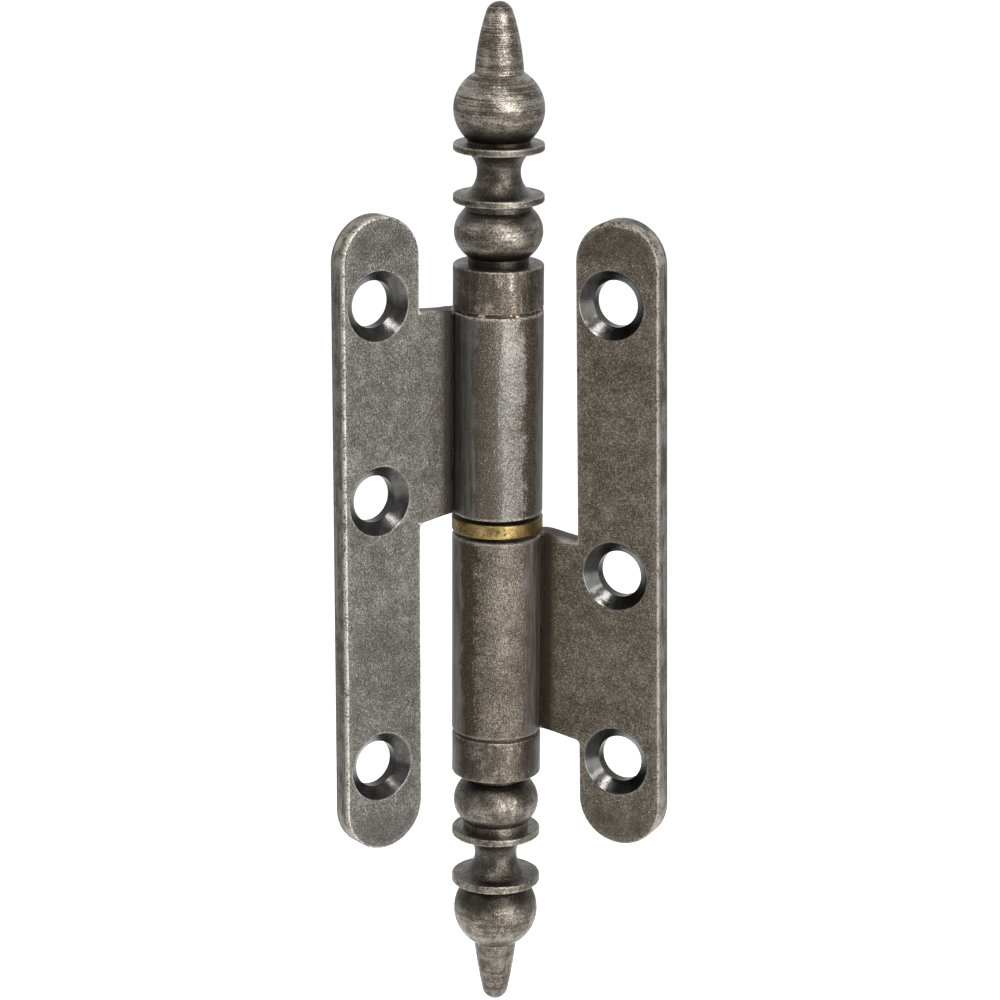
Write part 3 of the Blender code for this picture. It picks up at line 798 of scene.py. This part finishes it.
def leaf_finish(leaf, swing, over, shift, shine, wear, lip, dark, mid, light, painted_sheen, side_cast):
    """Antiqued sheet: a speckled patina, worn pale along its arrises, dark in the rolled seam with painted
    shade at the tab's root, and a painted highlight, reflection and shade on the knuckle.

    shine is the range of angles about the pin where the knuckle gets a painted highlight, and how much it
    brightens. wear is the colour of the arrises, and lip is how far in the free end's arris is worn. dark,
    mid and light are the patina's colours, painted_sheen that of the pale reflection painted on the
    knuckle's smooth bands and side_cast that of the narrow sides.
    """
    f = Finish(leaf.name + "_finish")
    own = f.place(swing, over)
    m = leaf_masks(f, leaf, own)
    place = f.vector("ADD", own, shift)
    grain = f.noise(place, 0.000084, 1.0, 0.6)
    speck = f.noise(place, 0.0002, 2.0, 0.6)
    patch = f.noise(place, 0.0016, 4.0, 0.6)
    cloud = f.noise(place, 0.006, 3.0, 0.55)
    streak = f.noise(stretched(f, place, 2.2, 0.18), 0.0012, 3.0, 0.6)
    scratch = f.noise(stretched(f, place, 5.0, 0.25), 0.0012, 3.0, 0.65)

    # The rolled barrel: smooth bands run up it at two fixed angles, with a pale reflection painted on them;
    # rough between the facet and the free side
    on_knuckle = f.ease(m["around"], 0.0048, 0.0046)
    turn = f.add(f.math("ARCTAN2", m["y"], m["x"]), f.centred(streak, 0.35), f.centred(patch, 0.5))
    turn = f.add(turn, f.centred(grain, 0.25))
    smooth_near = f.sector(turn, -30, -20, 14, 26)
    smooth_far = f.sector(turn, -156, -146, -118, -110)
    smooth = f.product(f.most(smooth_near, smooth_far), on_knuckle)
    # Painted shade: a dark brown band up the knuckle at one angle about the pin
    painted_shade_band = f.product(f.sector(turn, -116, -108, -94, -86), on_knuckle)
    rough_band = f.less(1.0, f.product(smooth, 0.7))

    # The speckle: strongest on the barrel, calmer and darker on the strip's round ends
    calm = f.ease(m["beyond"], 0.0, 0.0022)
    weight = f.add(f.less(1.0, f.product(calm, 0.4)), f.product(on_knuckle, 0.4))
    tone = f.product(f.add(f.centred(grain, 0.95), f.centred(speck, 0.5)), rough_band, weight)
    tone = f.less(tone, f.product(calm, 0.05))
    tone = f.add(tone, f.centred(patch, 0.45), f.centred(cloud, 0.3))
    pale = tuple(1.4 * value for value in light)
    # Painted highlight: the knuckle is brightened over the shine angles
    painted_highlight = f.product(f.sector(turn, shine[0] - 4, shine[0] + 5, shine[1] - 7, shine[1] + 7), on_knuckle)
    # Painted shade: the rest of the knuckle within these angles is darkened, off the painted highlight and
    # the smooth bands
    facing = f.sector(turn, -150, -130, 60, 80)
    painted_knuckle_shade = f.product(on_knuckle, f.less(1.0, painted_highlight), rough_band, facing)
    tone = f.add(tone, f.product(painted_highlight, shine[2]))
    tone = f.less(tone, f.product(painted_knuckle_shade, 0.13))
    base = f.mix(f.ease(tone, -0.22, 0.04), dark, mid)
    base = f.mix(f.ease(tone, 0.0, 0.26), base, light)
    flecks = f.product(f.ease(grain, 0.60, 0.72), rough_band, f.less(1.0, f.product(calm, 0.6)))
    base = f.mix(f.product(flecks, 0.5), base, pale)
    # Painted shade on the knuckle, broken by the grain
    base = f.mix(f.product(painted_knuckle_shade, f.ease(grain, 0.70, 0.46), 0.9), base, (0.060, 0.044, 0.031))
    # The painted shade band, broken by the grain
    base = f.mix(f.product(painted_shade_band, f.ease(grain, 0.74, 0.52), 0.97), base, (0.040, 0.030, 0.021))
    # Painted reflection: a pale streaky colour on the smooth bands
    base = f.mix(f.product(smooth, f.ease(streak, 0.35, 0.65), 0.6), base, painted_sheen)

    # The narrow sides, pale where the strip's ends curve over
    off_faces = f.ease(m["depth"], 0.00022, 0.0005)
    side = f.product(off_faces, f.ease(m["x"], 0.0055, 0.0062))
    scuffed = f.ease(f.add(f.product(scratch, 0.6), f.product(patch, 0.4)), 0.44, 0.57)
    side_tone = f.mix(scuffed, dark, side_cast)
    base = f.mix(f.product(side, 0.8), base, side_tone)
    base = f.mix(f.product(side, f.ease(speck, 0.52, 0.36), 0.55), base, dark)
    tab_side = f.product(off_faces, f.ease(m["x"], 0.0080, 0.0074), f.ease(m["around"], 0.0045, 0.0047))
    base = f.mix(f.product(tab_side, 0.8), base, (0.024, 0.019, 0.015))
    height = f.math("ABSOLUTE", m["z"])
    curve = f.product(side, f.ease(height, leaf.half_length - 0.006, leaf.half_length - 0.0035))
    base = f.mix(f.product(curve, f.ease(patch, 0.42, 0.58), 0.8), base, (0.30, 0.275, 0.22))

    # Painted shade at the root of the tab, and dirt in the seam
    front_side = f.product(f.ease(m["y"], 0.0038, 0.0028), f.ease(m["around"], 0.00452, 0.0047))
    # Painted shade: the tab darkens toward its root at the knuckle
    root = f.product(f.ease(m["x"], 0.0060, 0.0053), front_side)
    base = f.mix(f.product(root, 0.6), base, (0.055, 0.038, 0.026))
    seam = f.product(f.ease(m["x"], 0.0055, 0.0050), front_side)
    crack = f.product(on_knuckle, f.ease(m["y"], 0.0009, 0.0014), f.ease(m["x"], 0.003, 0.0035))
    base = f.mix(f.product(f.most(seam, crack), 0.75), base, (0.022, 0.018, 0.014))

    # Wear along the arrises, the knuckle's ends and the rims of the holes
    near_edge = f.add(f.most(m["inset"], 0.0), f.most(m["depth"], 0.0))
    off_root = f.ease(m["x"], 0.0056, 0.0066)
    on_front = f.ease(m["depth"], 0.00022, 0.00012)
    over_edge = f.less(m["depth"], f.most(m["inset"], 0.0))
    free_end = f.product(f.ease(m["beyond"], 0.0028, 0.0042), f.math("GREATER_THAN", m["z"], 0.0))
    reach = f.product(free_end, f.add(0.6, f.product(patch, 0.8)), lip)
    off_back = f.ease(m["y"], 0.0038, 0.0030)
    on_edge = f.product(f.ease(f.add(over_edge, reach), -0.00026, -0.00014), off_back, off_root)
    arris = f.product(on_edge, f.ease(f.add(over_edge, f.product(patch, 0.0006)), 0.00095, 0.0006))
    halo = f.product(f.ease(near_edge, 0.00095, 0.0004), on_front, off_root)
    collar = f.product(f.ease(m["ends"], 0.00042, 0.0001), f.ease(m["around"], 0.0040, 0.0043), on_knuckle)
    pale_rim = f.product(f.ease(m["hole"], 0.00366, 0.00358), f.ease(m["hole"], 0.0033, 0.0034))
    pale_rim = f.product(pale_rim, f.ease(m["y"], 0.0030, 0.0024))
    chipped = f.ease(f.add(f.product(speck, 0.7), f.product(patch, 0.4)), 0.44, 0.60)
    worn = f.most(arris, f.product(collar, 0.6), f.product(pale_rim, 0.35))
    base = f.mix(f.product(halo, f.ease(grain, 0.42, 0.6), 0.5), base, light)
    base = f.mix(f.product(worn, chipped, 0.85), base, wear)
    rough = f.add(0.38, f.product(speck, 0.14))
    rough = f.less(rough, f.product(f.most(side, smooth), 0.08))
    f.shader.inputs["Specular Tint"].default_value = (0.78, 0.76, 0.74, 1)
    f.bumps(
        (cloud, 0.00012), (patch, 0.00003), (f.product(speck, rough_band), 0.00006),
        (f.product(grain, rough_band), 0.00004),
    )
    bared = f.most(f.product(worn, chipped), f.product(curve, 0.7))
    return f.done(base, rough, f.less(0.8, f.product(bared, 0.35)))


def cone_finish(leaf, swing, over, share, streak):
    """The countersinks and screw holes: cut to the metal, darkened, with fine marks of the cutter round
    them.

    share scales their colour, and streak is how strongly a glint is painted on the low side of each
    countersink.
    """
    f = Finish(leaf.name + "_cone_finish")
    own = f.place(swing, over)
    m = leaf_masks(f, leaf, own)
    marks = f.noise(f.node("ShaderNodeCombineXYZ", {0: m["hole"], 1: m["y"]}), 0.00009, 2.0, 0.5)
    cloud = f.noise(own, 0.0012, 3.0, 0.6)
    dark = tuple(share * value for value in (0.050, 0.048, 0.045))
    mid = tuple(share * value for value in (0.095, 0.092, 0.086))
    base = f.mix(f.ease(cloud, 0.35, 0.7), dark, mid)
    # Painted glint: a paler streak on the low side of each countersink
    painted_glint = f.sector(m["turn"], -152, -140, -104, -88)
    base = f.mix(f.product(painted_glint, f.ease(cloud, 0.36, 0.5), streak), base, (0.075, 0.073, 0.07))
    bore = f.ease(m["hole"], 0.00242, 0.00235)
    base = f.mix(f.product(bore, 0.8), base, (0.022, 0.019, 0.016))
    rim_band = f.ease(m["hole"], 0.00338, 0.00345)
    base = f.mix(f.product(rim_band, 0.2), base, (0.34, 0.32, 0.28))
    f.bumps((marks, 0.000008), (cloud, 0.00004))
    return f.done(base, f.add(0.17, f.product(cloud, 0.12)), 0.9)


def brass_finish(name):
    """Old brass, pitted and browned."""
    f = Finish(name)
    place = f.place()
    sides = f.split(place)
    across = sides[0]
    height = f.math("ABSOLUTE", sides[2])
    speck = f.noise(place, 0.0003, 3.0, 0.6)
    patch = f.noise(place, 0.0012, 3.0, 0.6)
    pits = f.product(f.ease(speck, 0.44, 0.34), f.ease(height, 0.0005, 0.0002))
    edge = f.ease(height, 0.00052, 0.0007)
    base = f.mix(f.ease(patch, 0.35, 0.65), (0.15, 0.104, 0.04), (0.32, 0.24, 0.096))
    base = f.mix(f.product(f.ease(speck, 0.5, 0.36), 0.6), base, (0.12, 0.078, 0.03))
    base = f.mix(pits, base, (0.035, 0.026, 0.016))
    base = f.mix(f.product(edge, 0.5), base, (0.12, 0.09, 0.045))
    # Painted shade: greyer and darker in patches toward -X
    painted_shade_minus_x = f.product(f.ease(across, -0.0024, -0.0034), f.ease(patch, 0.2, 0.5))
    base = f.mix(f.product(painted_shade_minus_x, 0.8), base, (0.085, 0.072, 0.052))
    # Painted shade: darker toward +X
    base = f.mix(f.product(f.ease(across, 0.0026, 0.0038), 0.6), base, (0.09, 0.056, 0.02))
    f.bumps((patch, 0.00003), (speck, 0.00003))
    return f.done(base, f.add(0.3, f.product(speck, 0.2)), 1.0)


def braze_finish(name, least):
    """Brass filler: pale where it was filed, black with flux and dirt where it sits deep.

    A larger least leaves less of it pale.
    """
    f = Finish(name)
    place = f.place()
    patch = f.noise(place, 0.0013, 3.0, 0.6)
    speck = f.noise(place, 0.00035, 3.0, 0.6)
    shows = f.ease(f.add(f.product(patch, 0.9), f.product(speck, 0.3)), least, least + 0.08)
    base = f.mix(shows, (0.042, 0.031, 0.022), (0.42, 0.31, 0.19))
    f.bumps((patch, 0.00008), (speck, 0.00004))
    return f.done(base, 0.42, 0.9)


def pin_finish():
    """Drawn rod: bright, with fine marks along it and a little grease."""
    f = Finish("pin_finish")
    place = f.place()
    streak = f.noise(stretched(f, place, 3.0, 0.08), 0.0008, 3.0, 0.6)
    cloud = f.noise(place, 0.004, 2.0, 0.5)
    base = f.mix(f.ease(streak, 0.3, 0.7), (0.24, 0.23, 0.21), (0.36, 0.35, 0.33))
    base = f.mix(f.product(f.ease(cloud, 0.55, 0.7), 0.5), base, (0.16, 0.14, 0.11))
    f.bumps((streak, 0.000006))
    return f.done(base, f.add(0.24, f.product(cloud, 0.16)), 1.0)


upper_leaf_look = leaf_finish(
    UPPER, SWING, True, shift=(0.031, 0.002, 0.017), shine=(-90, -56, 0.1),
    wear=(0.46, 0.44, 0.39), lip=0.0,
    dark=(0.051, 0.046, 0.040), mid=(0.098, 0.093, 0.084), light=(0.24, 0.23, 0.206),
    painted_sheen=(0.15, 0.147, 0.134), side_cast=(0.20, 0.192, 0.163),
)
lower_leaf_look = leaf_finish(
    LOWER, 0.0, False, shift=(0.0, 0.011, 0.053), shine=(-92, -12, 0.0),
    wear=(0.275, 0.25, 0.215), lip=0.0004,
    dark=(0.040, 0.032, 0.024), mid=(0.088, 0.074, 0.058), light=(0.225, 0.196, 0.16),
    painted_sheen=(0.23, 0.223, 0.212), side_cast=(0.25, 0.243, 0.245),
)
upper_cone_look = cone_finish(UPPER, SWING, True, share=1.0, streak=0.0)
lower_cone_look = cone_finish(LOWER, 0.0, False, share=0.30, streak=1.0)
upper_turned_look = turned_finish(
    "upper_turned_finish", shift=(0.0, 0.0, 0.0), squash=(0.5, 1.5), ringing=1.0,
    patchy=(0.85, 0.75, 0.5), polish=0.0,
)
lower_turned_look = turned_finish(
    "lower_turned_finish", shift=(0.013, 0.007, 0.0), squash=(1.1, 0.8), ringing=0.2,
    patchy=(0.6, 0.6, 0.4), polish=0.05,
)
pin_look = pin_finish()
brass_look = brass_finish("brass_finish")
upper_braze_look = braze_finish("upper_braze_finish", 0.66)
lower_braze_look = braze_finish("lower_braze_finish", 0.78)

for thing, node, body, slot, materials in (
    (upper_leaf, "upper_leaf", "door_half", "leaf_iron", (upper_leaf_look, upper_cone_look)),
    (upper_finial, "upper_finial", "door_half", "turned_iron", (upper_turned_look,)),
    (lower_leaf, "lower_leaf", "frame_half", "leaf_iron", (lower_leaf_look, lower_cone_look)),
    (lower_finial, "lower_finial", "frame_half", "turned_iron", (lower_turned_look,)),
    (pin, "pin", "frame_half", "pin_steel", (pin_look,)),
    (washer, "washer", "loose_washer", "brass", (brass_look,)),
):
    slots = thing.data.materials
    if len(slots) == 0:
        slots.append(materials[0])
    for i, material in enumerate(materials):
        slots[i] = material
    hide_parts(node)
    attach(thing, body)

for thing, body, material in (
    (upper_braze, "door_half", upper_braze_look), (lower_braze, "frame_half", lower_braze_look),
):
    thing.data.materials.append(material)
    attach(thing, body)


# Studio

def add_camera():
    """To the right of the frame leaf's normal and above, with a long lens."""
    camera = bpy.data.cameras.new("camera")
    camera.lens = 132.45
    camera.sensor_width = 36
    camera.clip_start = 0.01
    holder = bpy.data.objects.new("camera", camera)
    holder.matrix_world = (
        Matrix.Translation((0.14776, -0.31802, 0.10347))
        @ Matrix.Rotation(radians(26.986), 4, "Z")
        @ Matrix.Rotation(radians(90 - 15.928), 4, "X")
        @ Matrix.Rotation(radians(0.288), 4, "Z")
    )
    bpy.context.scene.collection.objects.link(holder)
    bpy.context.scene.camera = holder


def add_lamp(name, azimuth, elevation, distance, width, height, power):
    """A soft box aimed at the hinge's middle; azimuth is counted from +X toward +Y."""
    lamp = bpy.data.lights.new(name, "AREA")
    lamp.shape = "RECTANGLE"
    lamp.size = width
    lamp.size_y = height
    lamp.energy = power
    holder = bpy.data.objects.new(name, lamp)
    toward = Vector((
        cos(radians(elevation)) * cos(radians(azimuth)),
        cos(radians(elevation)) * sin(radians(azimuth)),
        sin(radians(elevation)),
    ))
    holder.location = toward * distance + HINGE_MIDDLE
    holder.rotation_euler = toward.to_track_quat("Z", "Y").to_euler()
    bpy.context.scene.collection.objects.link(holder)


def add_node(tree, kind, **settings):
    node = tree.nodes.new(kind)
    for key, value in settings.items():
        setattr(node, key, value)
    return node


def white_ray(tree):
    """Two outputs: 1 for what the camera sees, also through something clear, and 1 in reflections."""
    path = add_node(tree, "ShaderNodeLightPath")
    seen = add_node(tree, "ShaderNodeMath", operation="MAXIMUM")
    tree.links.new(path.outputs["Is Camera Ray"], seen.inputs[0])
    tree.links.new(path.outputs["Is Transmission Ray"], seen.inputs[1])
    return seen.outputs[0], path.outputs["Is Glossy Ray"]


def add_world(level, front, back):
    """White to the camera. Metal sees a white wall behind the hinge and a dimmer room in front of it."""
    world = bpy.data.worlds.new("studio")
    world.use_nodes = True
    tree = world.node_tree
    seen, glossy = white_ray(tree)
    toward = add_node(tree, "ShaderNodeTexCoord")
    behind = add_node(tree, "ShaderNodeVectorMath", operation="DOT_PRODUCT")
    behind.inputs[1].default_value = (-0.45, 0.89, 0.0)
    tree.links.new(toward.outputs["Generated"], behind.inputs[0])
    room = add_node(tree, "ShaderNodeMapRange", interpolation_type="SMOOTHSTEP")
    for name, value in (("From Min", -0.2), ("From Max", 0.45), ("To Min", front), ("To Max", back)):
        room.inputs[name].default_value = value
    tree.links.new(behind.outputs["Value"], room.inputs["Value"])
    mirrored = add_node(tree, "ShaderNodeMix", data_type="FLOAT")
    mirrored.inputs[2].default_value = level
    tree.links.new(glossy, mirrored.inputs[0])
    tree.links.new(room.outputs["Result"], mirrored.inputs[3])
    strength = add_node(tree, "ShaderNodeMix", data_type="FLOAT")
    strength.inputs[3].default_value = 1.0
    tree.links.new(seen, strength.inputs[0])
    tree.links.new(mirrored.outputs[0], strength.inputs[2])
    background = tree.nodes["Background"]
    background.inputs["Color"].default_value = (1, 1, 1, 1)
    tree.links.new(strength.outputs[0], background.inputs["Strength"])
    bpy.context.scene.world = world


def add_floor():
    """White to the camera. Metal near it sees it dimmer, and it keeps the hinge's shadow."""
    mesh = bpy.data.meshes.new("floor")
    size = 4.0
    height = -0.16
    mesh.from_pydata(
        [(-size, -size, height), (size, -size, height), (size, size, height), (-size, size, height)],
        [], [(0, 1, 2, 3)],
    )
    floor = add_object("floor", mesh)
    white = Finish("floor").done((0.9, 0.9, 0.9), 0.9, 0.0)
    tree = white.node_tree
    seen, glossy = white_ray(tree)
    shader = tree.nodes["Principled BSDF"]
    shader.inputs["Emission Color"].default_value = (1, 1, 1, 1)
    place = add_node(tree, "ShaderNodeTexCoord")
    away = add_node(tree, "ShaderNodeVectorMath", operation="LENGTH")
    tree.links.new(place.outputs["Object"], away.inputs[0])
    near = add_node(tree, "ShaderNodeMapRange", interpolation_type="SMOOTHSTEP")
    for name, value in (("From Min", 0.55), ("From Max", 0.2), ("To Min", 0.0), ("To Max", 0.5)):
        near.inputs[name].default_value = value
    tree.links.new(away.outputs["Value"], near.inputs["Value"])
    mirrored = add_node(tree, "ShaderNodeMath", operation="MULTIPLY")
    tree.links.new(glossy, mirrored.inputs[0])
    tree.links.new(near.outputs["Result"], mirrored.inputs[1])
    lift = add_node(tree, "ShaderNodeMath", operation="MULTIPLY_ADD")
    lift.inputs[1].default_value = 0.6
    tree.links.new(seen, lift.inputs[0])
    tree.links.new(mirrored.outputs[0], lift.inputs[2])
    tree.links.new(lift.outputs[0], shader.inputs["Emission Strength"])
    floor.data.materials.append(white)


add_camera()
add_world(0.45, 0.3, 1.0)
add_floor()
add_lamp("key", -31, 13, 0.7, 0.34, 0.6, 6.6)
add_lamp("fill", -130, 25, 0.8, 0.4, 0.4, 1.2)
add_lamp("top", -66, 55, 0.7, 0.2, 0.2, 2.6)

scene = bpy.context.scene
scene.view_settings.view_transform = "Standard"
